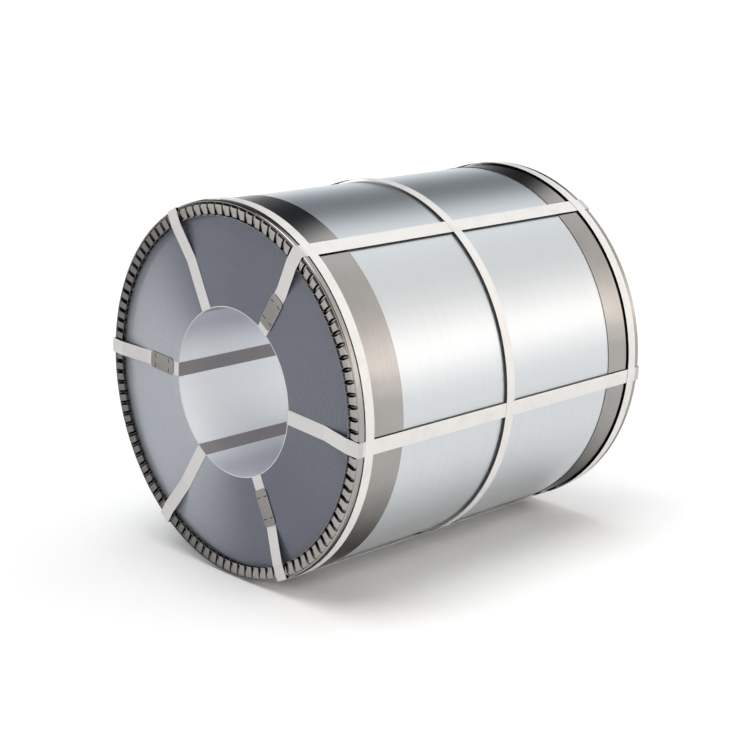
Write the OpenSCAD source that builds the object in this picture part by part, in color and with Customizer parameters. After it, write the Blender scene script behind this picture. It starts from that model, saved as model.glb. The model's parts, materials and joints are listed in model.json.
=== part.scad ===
// A packed steel coil lying on its side: the wound strip, two crimped edge
// protectors, three girth straps, six eye straps and a seal on each eye strap.
// Sizes are in millimetres. Z is up and the floor is at Z = 0. The coil's axis
// lies along Y, and its front end faces -Y.

/* [Coil] */
// outside diameter of the wound strip
coil_od = 1122; // [1000:2:1300]
// diameter of the bore
bore_d = 508; // [420:2:610]
// width of the strip
coil_w = 1180; // [800:10:1500]
// turns that show on each end
turns = 60; // [30:1:80]
// depth of the line between two turns
turn_line_depth = 0.8; // [0.4:0.1:1.2]

/* [Edge protectors] */
// thickness of the sheet
sheet_t = 1.5; // [1:0.1:2]
// width of the front protector's sleeve on the outside of the coil
sleeve_w = 155; // [120:1:200]
// width of the back protector's sleeve
sleeve_back_w = 130; // [110:1:200]
// height of the rolled bead above the sleeve
bead_h = 4.3; // [3:0.1:6]
// width of the rim's band on the outside
rim_w = 17; // [14:0.5:20]
// outer radius of the rim's edge
rim_r = 4; // [3:0.5:5]
// distance from the end of the coil to the rim's flat
rim_off = 14; // [13:0.5:18]
// radial width of the whole lip
lip_w = 44; // [40:1:60]
// smooth part of the lip, outside the crimps
lip_smooth = 4.5; // [4:0.5:8]
// crimps around the lip
crimps = 100; // [80:1:110]
// height of a crimp above the rim's flat
crimp_h = 4.5; // [3:0.5:9]
// gap between a crimp's round end and the rim
crimp_gap = 3; // [3:0.5:8]
// width of the pocket between two crimps
pocket_w = 14; // [12:0.5:16]
// width of the fold that stands in a pocket
fold_w = 6.5; // [4:0.5:8]
// height of the fold below the top of the crimps
fold_drop = 4; // [3:0.5:8]

/* [Straps] */
// thickness of every strap
strap_t = 1; // [0.8:0.1:1.1]
// width of a girth strap
girth_w = 32; // [25:1:40]
// distance from the end of the coil to the middle of the nearest girth strap
girth_inset = 22; // [20:1:60]
// width of an eye strap
eye_w = 44; // [30:1:50]
// angle of the first eye strap above level, seen from the front
eye_angle = 55; // [40:1:70]
// radial length over which an eye strap rises from the end of the coil to the lip
eye_rise = 109; // [60:1:112]

/* [Seals] */
// length of a seal along its strap
seal_l = 112; // [80:1:116]
// width of a seal beyond its strap, both sides together
seal_over = 8; // [4:0.5:10]
// thickness of a seal's sheet
seal_t = 1.5; // [1:0.1:2]
// cut across each corner of a seal
seal_clip = 9; // [2:0.5:12]
// length of a notch in a seal
notch_l = 14; // [8:1:16]
// width of a notch in a seal
notch_w = 3; // [2:0.5:4]
// distance that each seal is slipped outwards along its strap
seal_slip = [-13, 0, -9, 0, 8, 0];

/* [Clearances] */
// gap between a protector's sleeve and the coil
sleeve_gap = 0.2; // [0.1:0.1:0.5]
// gap between a strap or seal and what it lies on
strap_gap = 0.1; // [0.1:0.05:0.15]

/* [Hidden] */
$fn = 128;

// colours of the strip, the protectors, the straps and the seals
strip_colour = [0.78, 0.8, 0.83];
sheet_colour = [0.62, 0.59, 0.56];
strap_colour = [0.93, 0.92, 0.91];
seal_colour = [0.64, 0.61, 0.58];

// coil
coil_r = coil_od / 2;
bore_r = bore_d / 2;
end_z = coil_w / 2;
turn_pitch = (coil_r - bore_r) / turns;
turn_line_w = turn_pitch / 4;

// protector, from its sleeve over its rim to the inner edge of its lip
sleeve_in = coil_r + sleeve_gap;
sleeve_out = sleeve_in + sheet_t;
bead_r = sleeve_out + bead_h;
rim_z = end_z + rim_off;
core_r = bead_r - rim_r;
core_z = rim_z - rim_r;
band_z = rim_z - rim_w;
flare_z = band_z - 5 * bead_h;
lip_r = bead_r - lip_w;
crimp_r = bead_r - lip_smooth;
crimp_z = rim_z + crimp_h;
under_z = end_z + 2 * sheet_t;
floor_z = under_z + 2 * sheet_t;
fold_z = crimp_z - fold_drop;
wall_t = sheet_t;
crimp_w = 2 * PI * lip_r / crimps - pocket_w;
crimp_end_r = crimp_r - wall_t - crimp_gap;
arc_steps = 6;

// straps, each resting on what lies under it
eye_bore_r = bore_r - strap_gap;
eye_face_z = end_z + strap_gap;
eye_lip_r = lip_r - 4;
eye_rise_r = eye_lip_r - eye_rise;
eye_lip_z = crimp_z + strap_gap;
eye_out_r = bead_r + strap_gap;
girth_r = eye_out_r + strap_t + strap_gap;
eye_count = 6;
eye_step = 360 / eye_count;
axis_z = girth_r + strap_t;

// seals
seal_r = eye_rise_r - seal_l / 2 - 10;
seal_w = eye_w + seal_over;
seal_room = strap_t + strap_gap;
seal_h = seal_room + seal_t;

// turns the coil's own axis from Z to Y and lifts it off the floor
module lay_down() {
    translate([0, 0, axis_z]) rotate([90, 0, 0]) children();
}

// one side of the coil's section, with a line between each turn and the next
module coil_section() {
    function turn_r(i) = bore_r + i * turn_pitch;
    difference() {
        translate([bore_r, -end_z]) square([coil_r - bore_r, coil_w]);
        for (i = [1 : turns - 1], side = [-1, 1])
            translate([turn_r(i), side * end_z])
                square([turn_line_w, 2 * turn_line_depth], center = true);
    }
}

module coil() {
    color(strip_colour) lay_down() rotate_extrude() coil_section();
}

// points along an arc around a centre, from one angle to another
function arc(centre, radius, from, to) =
    [for (i = [0 : arc_steps])
        centre + radius * [cos(from + (to - from) * i / arc_steps),
                           sin(from + (to - from) * i / arc_steps)]];

// section of the bent sheet: sleeve of a given width, flare, rim and the start of the lip
module sheet_section(width) {
    sleeve_z = end_z - width;
    core = [core_r, core_z];
    lip_start = crimp_r - wall_t / 2;
    polygon(concat(
        [[sleeve_in, sleeve_z], [sleeve_out, sleeve_z], [sleeve_out, flare_z], [bead_r, band_z]],
        arc(core, rim_r, 0, 90),
        [[lip_start, rim_z], [lip_start, rim_z - sheet_t]],
        arc(core, rim_r - sheet_t, 90, 0),
        [[bead_r - sheet_t, band_z], [sleeve_in, flare_z]]
    ));
}

// section of the floor and outer wall of the pockets between the crimps
module pocket_section() {
    polygon([
        [lip_r, under_z], [crimp_r, under_z], [crimp_r, rim_z],
        [crimp_r - wall_t, rim_z], [crimp_r - wall_t, floor_z], [lip_r, floor_z]
    ]);
}

// one crimp, seen along the coil's axis as a tongue with a round outer end
module crimp() {
    inner = lip_r + 0.5;
    half = crimp_w / 2;
    translate([0, 0, under_z + 1]) linear_extrude(height = crimp_z - under_z - 1)
        polygon(concat(
            [[inner, 2 - half], [inner + 2, -half]],
            arc([crimp_end_r - half, 0], half, -90, 90),
            [[inner + 2, half], [inner, half - 2]]
        ));
}

// the fold that stands in a pocket and runs out to the rim
module fold() {
    inner = lip_r + 2;
    outer = crimp_r - wall_t / 2;
    translate([inner, -fold_w / 2, under_z + 1])
        cube([outer - inner, fold_w, fold_z - under_z - 1]);
}

// protector on the +Z end of the coil's own axis, with a sleeve of a given width
module edge_protector(width) {
    pitch = 360 / crimps;
    color(sheet_colour) {
        rotate_extrude() sheet_section(width);
        rotate_extrude() pocket_section();
        for (i = [0 : crimps - 1]) {
            rotate([0, 0, (i + 0.5) * pitch]) crimp();
            rotate([0, 0, i * pitch]) fold();
        }
    }
}

module edge_protector_front() {
    lay_down() edge_protector(sleeve_w);
}

module edge_protector_back() {
    lay_down() mirror([0, 0, 1]) edge_protector(sleeve_back_w);
}

// ring around the coil at a distance along its axis
module girth_strap(along) {
    color(strap_colour) lay_down() rotate_extrude()
        translate([girth_r, along - girth_w / 2]) square([strap_t, girth_w]);
}

module girth_strap_front() {
    girth_strap(end_z - girth_inset);
}

module girth_strap_middle() {
    girth_strap(0);
}

module girth_strap_back() {
    girth_strap(girth_inset - end_z);
}

// section of all that an eye strap goes round, grown by a thickness
module eye_section(grow) {
    inner_r = eye_bore_r - grow;
    outer_r = eye_out_r + grow;
    face_z = eye_face_z + grow;
    lip_z = eye_lip_z + grow;
    polygon([
        [inner_r, -face_z], [eye_rise_r, -face_z], [eye_lip_r, -lip_z], [outer_r, -lip_z],
        [outer_r, lip_z], [eye_lip_r, lip_z], [eye_rise_r, face_z], [inner_r, face_z]
    ]);
}

// loop through the bore, over both ends and along the outside
module eye_strap(number) {
    angle = eye_angle + (number - 1) * eye_step;
    color(strap_colour) lay_down() intersection() {
        rotate_extrude() difference() {
            eye_section(strap_t);
            eye_section(0);
        }
        rotate([0, 0, angle]) translate([0, -eye_w / 2, -coil_w])
            cube([coil_od, eye_w, 2 * coil_w]);
    }
}

module eye_strap_1() { eye_strap(1); }
module eye_strap_2() { eye_strap(2); }
module eye_strap_3() { eye_strap(3); }
module eye_strap_4() { eye_strap(4); }
module eye_strap_5() { eye_strap(5); }
module eye_strap_6() { eye_strap(6); }

// outline of a seal with its corners cut off
module seal_outline() {
    x = seal_l / 2;
    y = seal_w / 2;
    c = seal_clip;
    polygon([
        [x - c, -y], [x, c - y], [x, y - c], [x - c, y],
        [c - x, y], [-x, y - c], [-x, c - y], [c - x, -y]
    ]);
}

// seal around an eye strap, with four notches pressed into it
module seal(number) {
    angle = eye_angle + (number - 1) * eye_step;
    back = number % 2 == 0 ? 1 : 0;
    notch_x = 0.29 * seal_l;
    notch_y = 0.3 * seal_w;
    room_w = eye_w + 2 * strap_gap;
    color(seal_colour) lay_down() mirror([0, 0, back]) rotate([0, 0, angle])
        translate([seal_r + seal_slip[number - 1], 0, eye_face_z]) difference() {
            linear_extrude(height = seal_h) seal_outline();
            translate([-seal_l, -room_w / 2, -1])
                cube([2 * seal_l, room_w, seal_room + 1]);
            for (sx = [-1, 1], sy = [-1, 1])
                translate([sx * notch_x, sy * notch_y, seal_h])
                    cube([notch_w, notch_l, seal_t], center = true);
        }
}

module seal_1() { seal(1); }
module seal_2() { seal(2); }
module seal_3() { seal(3); }
module seal_4() { seal(4); }
module seal_5() { seal(5); }
module seal_6() { seal(6); }

coil();
edge_protector_front();
edge_protector_back();
girth_strap_front();
girth_strap_middle();
girth_strap_back();
eye_strap_1();
eye_strap_2();
eye_strap_3();
eye_strap_4();
eye_strap_5();
eye_strap_6();
seal_1();
seal_2();
seal_3();
seal_4();
seal_5();
seal_6();
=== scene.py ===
"""A packed steel coil on its side: strip, crimped edge protectors, straps and seals, dressed for looks."""

import json
import logging
import math
from dataclasses import dataclass
from enum import Enum
from itertools import pairwise
from typing import Any, Sequence

import bpy
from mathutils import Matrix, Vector


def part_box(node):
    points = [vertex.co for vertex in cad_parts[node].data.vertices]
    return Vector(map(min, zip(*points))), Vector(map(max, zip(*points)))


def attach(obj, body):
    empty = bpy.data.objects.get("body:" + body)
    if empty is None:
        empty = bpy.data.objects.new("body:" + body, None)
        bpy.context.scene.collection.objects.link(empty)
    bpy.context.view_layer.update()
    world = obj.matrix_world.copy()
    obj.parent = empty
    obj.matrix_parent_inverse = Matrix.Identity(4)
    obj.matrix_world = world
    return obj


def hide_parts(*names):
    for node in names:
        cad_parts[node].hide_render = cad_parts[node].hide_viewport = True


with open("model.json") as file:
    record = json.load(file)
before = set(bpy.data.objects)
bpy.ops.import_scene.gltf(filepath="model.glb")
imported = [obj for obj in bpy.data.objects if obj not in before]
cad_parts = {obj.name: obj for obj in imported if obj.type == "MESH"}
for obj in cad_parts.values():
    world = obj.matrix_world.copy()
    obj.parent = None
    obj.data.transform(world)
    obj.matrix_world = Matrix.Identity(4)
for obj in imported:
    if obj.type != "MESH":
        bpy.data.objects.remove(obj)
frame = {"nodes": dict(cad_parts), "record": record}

LOG = logging.getLogger("steel_coil")
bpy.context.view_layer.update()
BODY = "root"
MM = 0.001
SEAL_TOP = 2.7 * MM

Colour = tuple[float, float, float]
Point = tuple[float, float, float]


class End(Enum):
    """An end of the coil, with the way it faces along Y."""

    FRONT = -1
    BACK = 1


@dataclass(frozen=True)
class Value:
    """A shader socket that takes part in arithmetic; each operation adds a Math node."""

    graph: "Graph"
    socket: bpy.types.NodeSocket

    def __add__(self, other: Any) -> "Value":
        """Sum."""
        return self.graph.math("ADD", self, other)

    __radd__ = __add__

    def __sub__(self, other: Any) -> "Value":
        """Difference."""
        return self.graph.math("SUBTRACT", self, other)

    def __rsub__(self, other: Any) -> "Value":
        """Difference taken from a number."""
        return self.graph.math("SUBTRACT", other, self)

    def __mul__(self, other: Any) -> "Value":
        """Product."""
        return self.graph.math("MULTIPLY", self, other)

    __rmul__ = __mul__

    def __truediv__(self, other: Any) -> "Value":
        """Quotient."""
        return self.graph.math("DIVIDE", self, other)

    def __pow__(self, other: Any) -> "Value":
        """Power."""
        return self.graph.math("POWER", self, other)

    def __abs__(self) -> "Value":
        """Absolute value."""
        return self.graph.math("ABSOLUTE", self)

    def __gt__(self, other: Any) -> "Value":
        """One where this is greater, else nought."""
        return self.graph.math("GREATER_THAN", self, other)

    def __lt__(self, other: Any) -> "Value":
        """One where this is less, else nought."""
        return self.graph.math("LESS_THAN", self, other)

    def sine(self) -> "Value":
        """Sine of an angle in radians."""
        return self.graph.math("SINE", self)

    def angle_to(self, x: "Value") -> "Value":
        """Angle of the point (x, self) in radians."""
        return self.graph.math("ARCTAN2", self, x)


@dataclass(frozen=True)
class CoilPlace:
    """A place on the coil: Object coordinates in metres, height over the axis and distance from it."""

    x: Value
    y: Value
    z: Value
    rise: Value
    radius: Value

    def facing(self, degrees: float) -> Value:
        """Says how a place lies around the axis.

        Args:
            degrees: a way out from the axis, counted from +X towards +Z.

        Returns:
            One where the place lies that way, minus one where it lies the other way.
        """
        aim = math.radians(degrees)
        return (self.x * math.cos(aim) + self.rise * math.sin(aim)) / self.radius


class Graph:
    """The nodes of one material or world."""

    def __init__(self, owner: Any) -> None:
        """Clears the owner's nodes.

        Args:
            owner: a material or a world that uses nodes.
        """
        owner.use_nodes = True
        self.tree = owner.node_tree
        self.tree.nodes.clear()

    def node(self, kind: str, settings: dict[str, Any] | None = None,
             inputs: dict[str | int, Any] | None = None) -> bpy.types.Node:
        """Adds a node.

        Args:
            kind: the node's type, without the ShaderNode prefix.
            settings: values of the node itself; stops fills a colour ramp.
            inputs: values or links of its sockets, by name or number.

        Returns:
            The new node.
        """
        node = self.tree.nodes.new("ShaderNode" + kind)
        for name, value in (settings or {}).items():
            if name == "stops":
                self.fill_ramp(node.color_ramp, value)
            else:
                setattr(node, name, value)
        for key, value in (inputs or {}).items():
            self.feed(node.inputs[key], value)
        return node

    @staticmethod
    def fill_ramp(ramp: bpy.types.ColorRamp, stops: Sequence[tuple[float, Colour]]) -> None:
        """Sets a ramp's stops.

        Args:
            ramp: the ramp, with its two first stops.
            stops: place and colour of each stop, in order.
        """
        while len(ramp.elements) < len(stops):
            ramp.elements.new(1.0)
        for element, (place, colour) in zip(ramp.elements, stops):
            element.position = place
            element.color = (*colour, 1.0)

    def feed(self, socket: bpy.types.NodeSocket, value: Any) -> None:
        """Links a value to a socket, or sets it there.

        Args:
            socket: the socket to fill.
            value: a Value, a socket, a number or a colour.
        """
        if isinstance(value, Value):
            value = value.socket
        if isinstance(value, bpy.types.NodeSocket):
            self.tree.links.new(value, socket)
        elif isinstance(value, tuple) and len(value) == 3 and socket.type == "RGBA":
            socket.default_value = (*value, 1.0)
        else:
            socket.default_value = value

    def math(self, operation: str, *terms: Any) -> Value:
        """Adds a Math node.

        Args:
            operation: its operation.
            terms: its one or two terms.

        Returns:
            Its result.
        """
        node = self.node("Math", {"operation": operation}, dict(enumerate(terms)))
        return Value(self, node.outputs[0])

    def coil_place(self, axis_height: float) -> CoilPlace:
        """Finds where the shaded point lies on the coil.

        Args:
            axis_height: height of the coil's axis.

        Returns:
            The place.
        """
        x, y, z = self.parts(self.node("TexCoord").outputs["Object"])
        rise = z - axis_height
        return CoilPlace(x, y, z, rise, (x * x + rise * rise) ** 0.5)

    def parts(self, vector: bpy.types.NodeSocket) -> tuple[Value, Value, Value]:
        """The three parts of a vector."""
        node = self.node("SeparateXYZ", inputs={0: vector})
        return tuple(Value(self, socket) for socket in node.outputs)

    def vector(self, x: Any, y: Any, z: Any) -> bpy.types.NodeSocket:
        """A vector from three values."""
        return self.node("CombineXYZ", inputs={0: x, 1: y, 2: z}).outputs[0]

    def noise(self, place: bpy.types.NodeSocket, scale: float, detail: float = 3.0) -> Value:
        """Noise around one half.

        Args:
            place: where it is looked up.
            scale: how fine it is.
            detail: its octaves.

        Returns:
            The noise.
        """
        sockets = {"Vector": place, "Scale": scale, "Detail": detail}
        return Value(self, self.node("TexNoise", inputs=sockets).outputs[0])

    def mix(self, factor: Any, first: Any, second: Any) -> bpy.types.NodeSocket:
        """A colour between two colours.

        Args:
            factor: nought for the first, one for the second.
            first: a colour or a link to one.
            second: a colour or a link to one.

        Returns:
            The mixed colour's socket.
        """
        node = self.node("Mix", {"data_type": "RGBA"})
        self.feed(node.inputs[0], factor)
        self.feed(node.inputs[6], first)
        self.feed(node.inputs[7], second)
        return node.outputs[2]

    def step(self, value: Value, low: float, high: float) -> Value:
        """A smooth rise from nought to one between two values.

        Args:
            value: what is compared.
            low: where the rise starts.
            high: where it ends.

        Returns:
            The rise.
        """
        sockets = {0: value, 1: low, 2: high, 3: 0.0, 4: 1.0}
        node = self.node("MapRange", {"interpolation_type": "SMOOTHSTEP"}, sockets)
        return Value(self, node.outputs[0])

    def bump(self, height: Value, distance: float, strength: float = 1.0) -> bpy.types.NodeSocket:
        """A normal from a height.

        Args:
            height: the height, as a share of the distance.
            distance: the depth of the relief in metres.
            strength: how much of it shows.

        Returns:
            The normal's socket.
        """
        sockets = {"Strength": strength, "Distance": distance, "Height": height}
        return self.node("Bump", inputs=sockets).outputs[0]

    def surface(self, **inputs: Any) -> None:
        """Ends a material in a Principled shader.

        Args:
            inputs: its sockets, with underscores for spaces.
        """
        sockets = {name.replace("_", " ").title(): value for name, value in inputs.items()}
        shader = self.node("BsdfPrincipled", inputs=sockets)
        self.node("OutputMaterial", inputs={"Surface": shader.outputs[0]})


def new_material(name: str) -> tuple[bpy.types.Material, Graph]:
    """Makes an empty material.

    Args:
        name: its name.

    Returns:
        The material and its nodes.
    """
    material = bpy.data.materials.new(name)
    return material, Graph(material)


def deselect_all() -> None:
    """Leaves edit mode and deselects every object."""
    if bpy.context.object and bpy.context.object.mode != "OBJECT":
        bpy.ops.object.mode_set(mode="OBJECT")
    bpy.ops.object.select_all(action="DESELECT")


def add_chain(points: Sequence[Point]) -> None:
    """Draws an open chain of edges in the mesh being edited, by extruding one vertex from point to point.

    Args:
        points: the chain's points.
    """
    bpy.ops.mesh.primitive_plane_add(size=MM, location=(0, 0, 0))
    bpy.ops.mesh.merge(type="CENTER")
    bpy.ops.transform.translate(value=points[0])
    for before, after in pairwise(points):
        move = Vector(after) - Vector(before)
        bpy.ops.mesh.extrude_region_move(TRANSFORM_OT_translate={"value": move})


def start_mesh(name: str) -> bpy.types.Object:
    """Starts an empty mesh and leaves it in edit mode.

    Args:
        name: the new object's name.

    Returns:
        The new object.
    """
    deselect_all()
    bpy.ops.mesh.primitive_plane_add(size=MM, location=(0, 0, 0))
    piece = bpy.context.object
    piece.name = name
    bpy.ops.object.mode_set(mode="EDIT")
    bpy.ops.mesh.delete(type="VERT")
    return piece


def close_mesh() -> None:
    """Merges doubled points, turns faces the same way and leaves edit mode."""
    bpy.ops.mesh.select_all(action="SELECT")
    bpy.ops.mesh.remove_doubles(threshold=0.01 * MM)
    bpy.ops.mesh.normals_make_consistent(inside=False)
    bpy.ops.object.mode_set(mode="OBJECT")


def apply_modifier(piece: bpy.types.Object, kind: str, **settings: Any) -> None:
    """Adds a modifier and applies it.

    Args:
        piece: the object.
        kind: the modifier's type.
        settings: its settings.
    """
    bpy.context.view_layer.objects.active = piece
    modifier = piece.modifiers.new(kind.title(), kind)
    for name, value in settings.items():
        setattr(modifier, name, value)
    bpy.ops.object.modifier_apply(modifier=modifier.name)


def join(pieces: Sequence[bpy.types.Object]) -> bpy.types.Object:
    """Joins objects into the first of them.

    Args:
        pieces: the objects.

    Returns:
        The joined object.
    """
    deselect_all()
    for piece in pieces:
        piece.select_set(True)
    bpy.context.view_layer.objects.active = pieces[0]
    bpy.ops.object.join()
    return pieces[0]


def smooth(piece: bpy.types.Object, degrees: float) -> None:
    """Shades a piece smooth, with edges sharper than an angle left sharp.

    Args:
        piece: the object.
        degrees: the angle.
    """
    deselect_all()
    piece.select_set(True)
    bpy.context.view_layer.objects.active = piece
    bpy.ops.object.shade_smooth_by_angle(angle=math.radians(degrees))


def coat(piece: bpy.types.Object, material: bpy.types.Material) -> None:
    """Gives a piece one material all over.

    Args:
        piece: the object.
        material: its material.
    """
    if not piece.data.materials:
        piece.data.materials.append(material)
    for slot in piece.material_slots:
        slot.link = "OBJECT"
        slot.material = material


def spread(low: Point, high: Point) -> tuple[float, float]:
    """Half the width and the middle height of a box.

    Args:
        low: its lowest corner.
        high: its highest corner.

    Returns:
        Half its width along X, and the height of its middle.
    """
    return (high[0] - low[0]) / 2, (high[2] + low[2]) / 2


@dataclass(frozen=True)
class StripFinish:
    """Bright rolled strip around the coil and in its bore, dull where the turns end. The bore's tones, a
    highlight on the ends and one on the first turn are painted light and shade.
    """

    axis_height: float
    bore_radius: float
    outer_radius: float
    half_width: float
    turns: int = 60
    bright: Colour = (0.585, 0.615, 0.635)
    bright_streak: Colour = (0.565, 0.595, 0.615)
    # painted light and shade in the bore: the lighter colour at its sides, the darker one above and below
    bore: Colour = (0.948, 0.968, 0.985)
    bore_painted_shade: Colour = (0.43, 0.448, 0.495)
    bore_painted_light_degrees: float = 198.0
    dull: Colour = (0.124, 0.132, 0.164)
    # painted highlight: the lighter tone of the ends on the side they face towards, standing in for
    # reflected light
    end_painted_sheen: Colour = (0.395, 0.418, 0.455)
    end_painted_sheen_degrees: float = 197.0
    # painted highlight on the first turn at the bore's mouth
    first_turn_painted_highlight: Colour = (0.52, 0.54, 0.575)
    gap_line: Colour = (0.05, 0.05, 0.06)
    metallic: float = 0.95
    metallic_less_on_end: float = 0.65
    metallic_less_in_bore: float = 0.8
    roughness: float = 0.29
    rougher_on_end: float = 0.19
    rougher_in_bore: float = 0.12
    end_relief: float = 0.6 * MM

    def end_tone(self, graph: Graph, at: CoilPlace) -> tuple[bpy.types.NodeSocket, Value]:
        """Draws the edges of the turns on the coil's ends, with a painted highlight on one side and a
        fainter one on the other, and a painted highlight on the first turn.

        Args:
            graph: the material's nodes.
            at: the place on the coil.

        Returns:
            The colour, and the height as a share of the relief.
        """
        pitch = (self.outer_radius - self.bore_radius) / self.turns
        turn = (at.radius - self.bore_radius) / pitch
        wave = (turn * (2 * math.pi)).sine() * 0.5 + 0.5
        fine = (turn * (6 * math.pi)).sine() * 0.5 + 0.5
        height = wave * 0.7 + fine * 0.3
        facing = at.facing(self.end_painted_sheen_degrees)
        # painted highlight: lighter towards one side of the ends, a tenth as much on the opposite side
        painted_sheen_weight = graph.step(facing, 0.06, 1.0) + graph.step(facing, -0.3, -1.0) * 0.1
        tone = graph.mix(painted_sheen_weight, self.dull, self.end_painted_sheen)
        shade = graph.noise(graph.vector(at.radius, 0.0, 0.0), 90.0)
        worn = graph.step(height, 0.55, 0.95) * 0.12 + graph.step(shade, 0.45, 0.75) * 0.12
        tone = graph.mix(worn, tone, self.gap_line)
        # painted highlight: the first turn at the bore's mouth is lighter, standing in for light on its edge
        first = at.radius < self.bore_radius + 0.45 * pitch
        return graph.mix(first, tone, self.first_turn_painted_highlight), height

    def bore_painted_light(self, graph: Graph, at: CoilPlace) -> bpy.types.NodeSocket:
        """Paints light and shade in the bore: a painted reflection bright at both sides, painted shade
        duller above and below.

        Args:
            graph: the material's nodes.
            at: the place on the coil.

        Returns:
            The colour.
        """
        beside = abs(at.facing(self.bore_painted_light_degrees))
        return graph.mix(graph.step(beside, 0.48, 1.0), self.bore_painted_shade, self.bore)

    def material(self) -> bpy.types.Material:
        """Makes the material.

        Returns:
            The material.
        """
        material, graph = new_material("strip_steel")
        at = graph.coil_place(self.axis_height)
        on_end = graph.step(abs(at.y), self.half_width - 1.2 * MM, self.half_width - 0.9 * MM)
        in_bore = (1 - on_end) * (at.radius < self.bore_radius + MM)
        end, end_height = self.end_tone(graph, at)
        streak = graph.noise(graph.vector(at.x * 2.0, at.y * 160.0, at.rise * 2.0), 1.0, 4.0)
        strip = graph.mix(graph.step(streak, 0.35, 0.75), self.bright, self.bright_streak)
        strip = graph.mix(in_bore, strip, self.bore_painted_light(graph, at))
        metallic = self.metallic - on_end * self.metallic_less_on_end
        roughness = self.roughness + streak * 0.04 + on_end * self.rougher_on_end
        height = on_end * end_height + (1 - on_end) * streak * 0.02
        graph.surface(
            base_color=graph.mix(on_end, strip, end),
            metallic=metallic - in_bore * self.metallic_less_in_bore,
            roughness=roughness + in_bore * self.rougher_in_bore,
            normal=graph.bump(height, self.end_relief, 0.6),
        )
        return material


@dataclass(frozen=True)
class SheetFinish:
    """Satin steel sheet of a warm grey, for protectors and seals.

    Nearer the axis than inside, it darkens with depth under a level of its own as painted shade in its
    hollows, and one side of it darkens as painted shade.
    """

    name: str
    tone: Colour
    dark_tone: Colour
    roughness: float
    axis_height: float
    inside: float
    level: float
    shallow: float
    deep: float
    # pocket: the near-black colour of the painted shade in the hollows and on the shaded side
    pocket: Colour = (0.03, 0.028, 0.026)
    edge_tint: float = 0.5
    # painted shade on one side of the lip: its strength and the way it lies around the axis
    painted_side_shade: float = 0.0
    painted_side_shade_degrees: float = 187.0

    def material(self) -> bpy.types.Material:
        """Makes the material.

        Returns:
            The material.
        """
        material, graph = new_material(self.name)
        at = graph.coil_place(self.axis_height)
        cloud = graph.noise(graph.vector(at.x, at.y, at.z), 6.0, 4.0)
        streak = graph.noise(graph.vector(at.x * 3.0, at.y * 220.0, at.z * 3.0), 1.0, 3.0)
        mask = graph.step(cloud * 0.7 + streak * 0.3, 0.42, 0.66)
        tone = graph.mix(mask, self.tone, self.dark_tone)
        within = at.radius < self.inside
        # painted shade: inside the rim the sheet darkens towards one side
        side_shade_mask = graph.step(at.facing(self.painted_side_shade_degrees), -0.05, 0.6) * within * self.painted_side_shade
        tone = graph.mix(side_shade_mask, tone, self.pocket)
        # painted shade: darker with depth below the level, in the slits and valleys of the lip and the
        # notches of the seals
        recess_painted_shade = graph.step(abs(at.y), self.level - self.shallow, self.level - self.deep) * within
        graph.surface(
            base_color=graph.mix(recess_painted_shade, tone, self.pocket),
            metallic=1.0,
            specular_tint=(self.edge_tint, self.edge_tint, self.edge_tint),
            roughness=self.roughness + (streak - 0.5) * 0.05,
            normal=graph.bump(streak, 0.03 * MM, 0.3),
        )
        return material


@dataclass(frozen=True)
class StrapFinish:
    """Off-white painted strap, a darker warm grey in the bore as painted shade, and darker on the coil's
    ends and underneath as painted shade.
    """

    axis_height: float
    bore_radius: float
    half_width: float
    paint: Colour = (0.70, 0.69, 0.675)
    paint_dusty: Colour = (0.655, 0.645, 0.63)
    # painted shade on the straps' runs in the bore
    bore_run_painted_shade: Colour = (0.285, 0.265, 0.268)
    shaded: Colour = (0.49, 0.482, 0.472)
    # painted shade on the straps' undersides
    under: Colour = (0.06, 0.055, 0.05)

    def material(self) -> bpy.types.Material:
        """Makes the material.

        Returns:
            The material.
        """
        material, graph = new_material("strap_paint")
        at = graph.coil_place(self.axis_height)
        dust = graph.noise(graph.vector(at.x, at.y, at.z), 14.0, 5.0)
        paint = graph.mix(graph.step(dust, 0.45, 0.7), self.paint, self.paint_dusty)
        # painted shade: the straps' runs on the coil's ends are darker
        paint = graph.mix(abs(at.y) > self.half_width, paint, self.shaded)
        in_bore = at.radius < self.bore_radius + 0.05 * MM
        normal = graph.parts(graph.node("TexCoord").outputs["Normal"])
        outward = normal[0] * at.x + normal[1] * at.y + normal[2] * at.rise
        # painted shade: faces turned towards the axis, under the strap, are near-black
        paint = graph.mix(outward < 0.0, paint, self.under)
        # painted shade: the straps' runs in the bore are a darker warm grey
        graph.surface(
            base_color=graph.mix(in_bore, paint, self.bore_run_painted_shade),
            metallic=0.25,
            roughness=0.42 + dust * 0.1,
            normal=graph.bump(dust, 0.1 * MM, 0.2),
        )
        return material


@dataclass(frozen=True)
class FloorFinish:
    """Plain pale studio floor."""

    colour: Colour = (0.93, 0.93, 0.93)

    def material(self) -> bpy.types.Material:
        """Makes the material.

        Returns:
            The material.
        """
        material, graph = new_material("studio_floor")
        graph.surface(base_color=self.colour, roughness=1.0)
        return material


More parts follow.
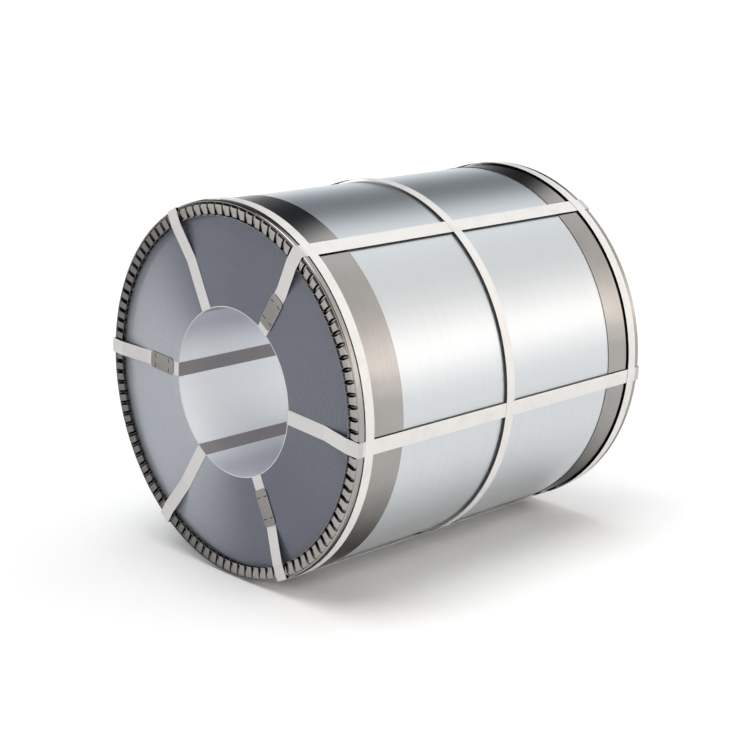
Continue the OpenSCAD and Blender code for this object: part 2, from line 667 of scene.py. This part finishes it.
@dataclass
class EdgeProtector:
    """A ring of bent sheet on one end of the coil: sleeve, rim and crimped lip."""

    end: End
    axis_height: float
    coil_radius: float
    half_width: float
    finish: bpy.types.Material
    sleeve_gap: float = 0.2 * MM
    sheet: float = 1.5 * MM
    bead: float = 4.3 * MM
    rim_off: float = 14 * MM
    rim_band: float = 17 * MM
    rim_radius: float = 4 * MM
    lip: float = 44 * MM
    lip_smooth: float = 4.5 * MM
    crimps: int = 100
    crimp_height: float = 4.5 * MM
    pocket: float = 14 * MM
    fold: float = 6.5 * MM
    ring_steps: int = 200
    arc_steps: int = 5
    sharp_degrees: float = 50.0

    @property
    def node(self) -> str:
        """Name of the solid that this piece stands for."""
        return f"edge_protector_{self.end.name.lower()}"

    @property
    def sleeve(self) -> float:
        """Width of the sleeve, from the length of its solid."""
        low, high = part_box(self.node)
        return high[1] - low[1] - self.rim_off - self.crimp_height

    @property
    def sleeve_radius(self) -> float:
        """Outer radius of the sleeve."""
        return self.coil_radius + self.sleeve_gap + self.sheet

    @property
    def bead_radius(self) -> float:
        """Outer radius of the rim."""
        return self.sleeve_radius + self.bead

    @property
    def rim(self) -> float:
        """Distance of the rim's flat from the coil's middle."""
        return self.half_width + self.rim_off

    def place(self, radius: float, along: float, across: float = 0.0) -> Point:
        """A point near the level of the axis.

        Args:
            radius: its distance to the right of the axis.
            along: its distance from the coil's middle, towards this end.
            across: its height above the axis.

        Returns:
            The point in the frame.
        """
        return radius, self.end.value * along, self.axis_height + across

    def rim_ring(self) -> bpy.types.Object:
        """Spins the section of the sleeve and rim into a ring.

        Returns:
            The ring.
        """
        band = self.rim - self.rim_band
        section = [(self.sleeve_radius, self.half_width - self.sleeve)]
        section += [(self.sleeve_radius, band - 5 * self.bead)]
        section += [(self.bead_radius - 0.3 * self.bead, band - 1.2 * self.bead), (self.bead_radius, band)]
        for step in range(self.arc_steps + 1):
            turn = math.radians(step * 90 / self.arc_steps)
            out = self.bead_radius - self.rim_radius * (1 - math.cos(turn))
            section.append((out, self.rim - self.rim_radius * (1 - math.sin(turn))))
        section.append((self.bead_radius - self.lip_smooth, self.rim))
        ring = start_mesh(self.node + "_rim")
        add_chain([self.place(*point) for point in section])
        bpy.ops.mesh.select_all(action="SELECT")
        bpy.ops.mesh.spin(
            steps=self.ring_steps, angle=2 * math.pi, use_auto_merge=True,
            center=(0, 0, self.axis_height), axis=(0, 1, 0),
        )
        close_mesh()
        apply_modifier(ring, "SOLIDIFY", thickness=self.sheet, offset=-1.0)
        return ring

    def crimp_chain(self, radius: float, heights: Sequence[float],
                    pocket: float, fold: float) -> list[Point]:
        """One section across a crimp, from the middle of a fold to the middle of the next.

        Args:
            radius: where the section is taken.
            heights: heights over the rim's flat, in millimetres, of the crimp's middle, its edges,
                the slits and the folds.
            pocket: width between two crimps.
            fold: width of the fold between two slits.

        Returns:
            The section's points.
        """
        top, side, slit, floor = heights
        half_pitch = math.pi * radius / self.crimps
        crest = half_pitch - pocket / 2
        edge = half_pitch - fold / 2
        half = [(0.0, top), (crest, side), ((crest + edge) / 2, slit)]
        half += [(edge, floor - 0.25 * fold / MM), (half_pitch, floor)]
        both = [(-across, height) for across, height in reversed(half[1:])] + half
        return [self.place(radius, self.rim + height * MM, across) for across, height in both]

    def crimp_ring(self) -> bpy.types.Object:
        """Models one crimp and copies it around the lip.

        The crimp is bridged from sections at growing radii. Each has its heights, and the widths of
        its pocket and fold as shares of the full ones.

        Returns:
            The ring of crimps.
        """
        inner = self.bead_radius - self.lip
        outer = self.bead_radius - self.lip_smooth
        top = self.crimp_height / MM
        ring = start_mesh(self.node + "_crimps")
        for radius, heights, pocket, fold in (
            (inner + 0.8 * MM, (top - 5.0, top - 5.5, -11.0, -4.0), 1.02, 1.15),
            (inner, (top - 0.3, top - 1.1, -9.5, 1.5), 1.02, 1.15),
            (inner + 1.5 * MM, (top, top - 0.8, -9.0, 2.2), 1.02, 1.15),
            (outer - 13.0 * MM, (top, top - 0.8, -7.5, 2.4), 0.98, 1.05),
            (outer - 7.4 * MM, (top - 0.1, top - 1.0, -5.5, 2.0), 0.9, 0.7),
            (outer - 6.2 * MM, (top - 0.6, top - 1.8, -4.8, 1.4), 0.84, 0.55),
            (outer - 1.4 * MM, (-0.9, -1.0, -1.8, -1.2), 0.5, 0.3),
            (outer, (0.0, 0.0, 0.0, 0.2), 0.4, 0.2),
        ):
            add_chain(self.crimp_chain(radius, heights, pocket * self.pocket, fold * self.fold))
        bpy.ops.mesh.select_all(action="SELECT")
        bpy.ops.mesh.bridge_edge_loops(type="SINGLE")
        bpy.ops.mesh.select_all(action="SELECT")
        copies = self.crimps - 1
        bpy.ops.transform.rotate(
            value=math.pi / self.crimps, orient_axis="Y", center_override=(0, 0, self.axis_height),
        )
        bpy.ops.mesh.spin(
            steps=copies, dupli=True, angle=2 * math.pi * copies / self.crimps,
            center=(0, 0, self.axis_height), axis=(0, 1, 0),
        )
        close_mesh()
        return ring

    def build(self) -> None:
        """Makes the whole protector in place of its solid, dresses it and reports it."""
        piece = join([self.rim_ring(), self.crimp_ring()])
        piece.name = self.node + "_sheet"
        smooth(piece, self.sharp_degrees)
        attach(piece, BODY)
        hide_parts(self.node)
        coat(piece, self.finish)
        LOG.info("%s with %d faces", piece.name, len(piece.data.polygons))


@dataclass
class StrappedRoll:
    """The roll with its straps and seals: solids that keep their shape and get a finish."""

    axis_height: float
    bore_radius: float
    outer_radius: float
    half_width: float

    def finishes(self) -> dict[str, bpy.types.Material]:
        """Makes the finish of each kind of solid.

        Returns:
            The materials, each under a word that its solids' names hold.
        """
        strip = StripFinish(self.axis_height, self.bore_radius, self.outer_radius, self.half_width)
        strap = StrapFinish(self.axis_height, self.bore_radius, self.half_width)
        # the seal's finish: painted shade in its notches and on its sides below its top
        seal = SheetFinish(
            "seal_steel", (0.30, 0.285, 0.27), (0.235, 0.225, 0.215), 0.42, self.axis_height,
            inside=self.outer_radius, level=self.half_width + SEAL_TOP,
            shallow=0.2 * MM, deep=0.5 * MM,
        )
        return {"coil": strip.material(), "strap": strap.material(), "seal": seal.material()}

    def dress(self) -> None:
        """Gives each solid the finish of its kind and reports it."""
        finishes = self.finishes()
        for name, node in frame["nodes"].items():
            for kind, material in finishes.items():
                if kind in name:
                    coat(node, material)
                    LOG.info("%s dressed", name)


@dataclass
class Studio:
    """Camera, floor, lamps and surroundings."""

    eye: Point = (3.7377, -3.5646, 1.8696)
    aim: Point = (-0.0295, 0.0193, 0.5066)
    lens: float = 80.73
    floor_size: float = 20.0
    key_from: Point = (-0.05, -0.2, 1.0)
    key_power: float = 1.95
    key_spread: float = 50.0
    fill_from: Point = (-0.87, -0.48, 0.05)
    fill_power: float = 2.5
    fill_spread: float = 8.0
    bore_lamp_at: Point = (0.0, -0.13, 0.5692)
    bore_power: float = 0.85
    bore_lamp_radius: float = 0.1
    horizon: float = 1.75
    front_less: float = 0.2
    front_top_less: float = 0.69
    sky: tuple[tuple[float, float], ...] = (
        (0, 1.80), (6, 2.10), (13, 2.40), (20, 2.35), (28, 2.05), (36, 1.70), (46, 1.40),
        (58, 1.25), (72, 1.25), (90, 1.50), (102, 1.65), (110, 1.25), (117, 0.50), (125, 0.10),
        (133, 0.05), (146, 0.20), (157, 0.75), (165, 1.30), (173, 1.70), (180, 1.80),
    )
    tints: tuple[tuple[float, Colour], ...] = (
        (0, (0.82, 0.80, 0.78)), (10, (0.845, 0.80, 0.757)), (36, (0.838, 0.80, 0.76)),
        (60, (0.812, 0.80, 0.785)), (84, (0.80, 0.80, 0.80)), (110, (0.78, 0.80, 0.818)),
        (128, (0.685, 0.785, 0.91)), (142, (0.685, 0.785, 0.91)), (156, (0.745, 0.80, 0.855)),
        (172, (0.79, 0.80, 0.81)), (180, (0.80, 0.80, 0.80)),
    )

    def set_camera(self) -> None:
        """Places the camera at the photograph's viewpoint."""
        data = bpy.data.cameras.new("camera")
        data.lens = self.lens
        data.sensor_width = 36.0
        camera = bpy.data.objects.new("camera", data)
        bpy.context.scene.collection.objects.link(camera)
        camera.location = self.eye
        away = Vector(self.aim) - Vector(self.eye)
        camera.rotation_euler = away.to_track_quat("-Z", "Y").to_euler()
        bpy.context.scene.camera = camera

    def lay_floor(self) -> None:
        """Lays the pale floor that the coil lies on."""
        deselect_all()
        bpy.ops.mesh.primitive_plane_add(size=self.floor_size, location=(0, 0, 0))
        floor = bpy.context.object
        floor.name = "studio_floor"
        coat(floor, FloorFinish().material())

    def surround(self) -> None:
        """Sets long soft boxes around the coil's axis as a sky that changes around Y."""
        world = bpy.data.worlds.new("studio")
        bpy.context.scene.world = world
        graph = Graph(world)
        x, y, z = graph.parts(graph.node("TexCoord").outputs["Generated"])
        turn = z.angle_to(x) / math.pi
        front = graph.step(y, 0.25, -0.25)
        share = 1 - front * (self.front_less + graph.step(z, 0.2, 0.45) * self.front_top_less)
        stops = [(degrees / 180, (level, level, level)) for degrees, level in self.sky]
        ramp = graph.node("ValToRGB", {"stops": stops}, {0: turn})
        stops = [(degrees / 180, tint) for degrees, tint in self.tints]
        tint = graph.node("ValToRGB", {"stops": stops}, {0: turn}).outputs[0]
        level = graph.step(z, 0.05, 0.1)
        sky = Value(graph, ramp.outputs[0]) * share
        strength = self.horizon + (sky - self.horizon) * level
        light = graph.node("Background", inputs={"Color": tint, "Strength": strength})
        graph.node("OutputWorld", inputs={"Surface": light.outputs[0]})

    @staticmethod
    def add_lamp(name: str, kind: str, power: float, mirrored: bool) -> bpy.types.Object:
        """Adds a lamp at the origin.

        Args:
            name: the lamp's name.
            kind: its type.
            power: its strength.
            mirrored: whether gloss shows it.

        Returns:
            The lamp.
        """
        data = bpy.data.lights.new(name, kind)
        data.energy = power
        lamp = bpy.data.objects.new(name, data)
        bpy.context.scene.collection.objects.link(lamp)
        lamp.visible_glossy = mirrored
        return lamp

    def hang_lamp(self, name: str, origin: Point, power: float, spread_degrees: float,
                  mirrored: bool = True) -> None:
        """Hangs a soft lamp far away.

        Args:
            name: the lamp's name.
            origin: the way that its light comes from.
            power: its strength.
            spread_degrees: how wide it looks.
            mirrored: whether gloss shows it.
        """
        lamp = self.add_lamp(name, "SUN", power, mirrored)
        lamp.data.angle = math.radians(spread_degrees)
        lamp.rotation_euler = (-Vector(origin)).to_track_quat("-Z", "Y").to_euler()

    def light_bore(self) -> None:
        """Sets a small soft lamp in the bore, out of sight."""
        lamp = self.add_lamp("bore_lamp", "POINT", self.bore_power, mirrored=False)
        lamp.data.shadow_soft_size = self.bore_lamp_radius
        lamp.visible_camera = False
        lamp.location = self.bore_lamp_at

    def build(self) -> None:
        """Sets up everything around the object."""
        bpy.context.scene.view_settings.view_transform = "Standard"
        self.set_camera()
        self.lay_floor()
        self.surround()
        self.hang_lamp("key", self.key_from, self.key_power, self.key_spread)
        self.hang_lamp("fill", self.fill_from, self.fill_power, self.fill_spread, mirrored=False)
        self.light_bore()


def main() -> None:
    """Builds the studio, the protectors and the strapped roll."""
    logging.basicConfig(level=logging.INFO, format="%(name)s: %(message)s")
    coil_low, coil_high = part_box("coil")
    coil_radius, axis_height = spread(coil_low, coil_high)
    half_width = (coil_high[1] - coil_low[1]) / 2
    bore_radius = frame["record"]["mounts"][0]["dims"]["r_mm"] * MM
    Studio().build()

    # the protectors' finish: painted shade in the slits and valleys, and on one side of the lip
    sheet = SheetFinish(
        "protector_steel", (0.378, 0.363, 0.349), (0.344, 0.331, 0.318), 0.17, axis_height,
        inside=coil_radius + 1.6 * MM, level=half_width + EdgeProtector.rim_off,
        shallow=-1.5 * MM, deep=4.5 * MM, edge_tint=0.25, painted_side_shade=0.6,
    ).material()
    for end in End:
        EdgeProtector(end, axis_height, coil_radius, half_width, sheet).build()
    StrappedRoll(axis_height, bore_radius, coil_radius, half_width).dress()


if __name__ == "__main__":
    main()
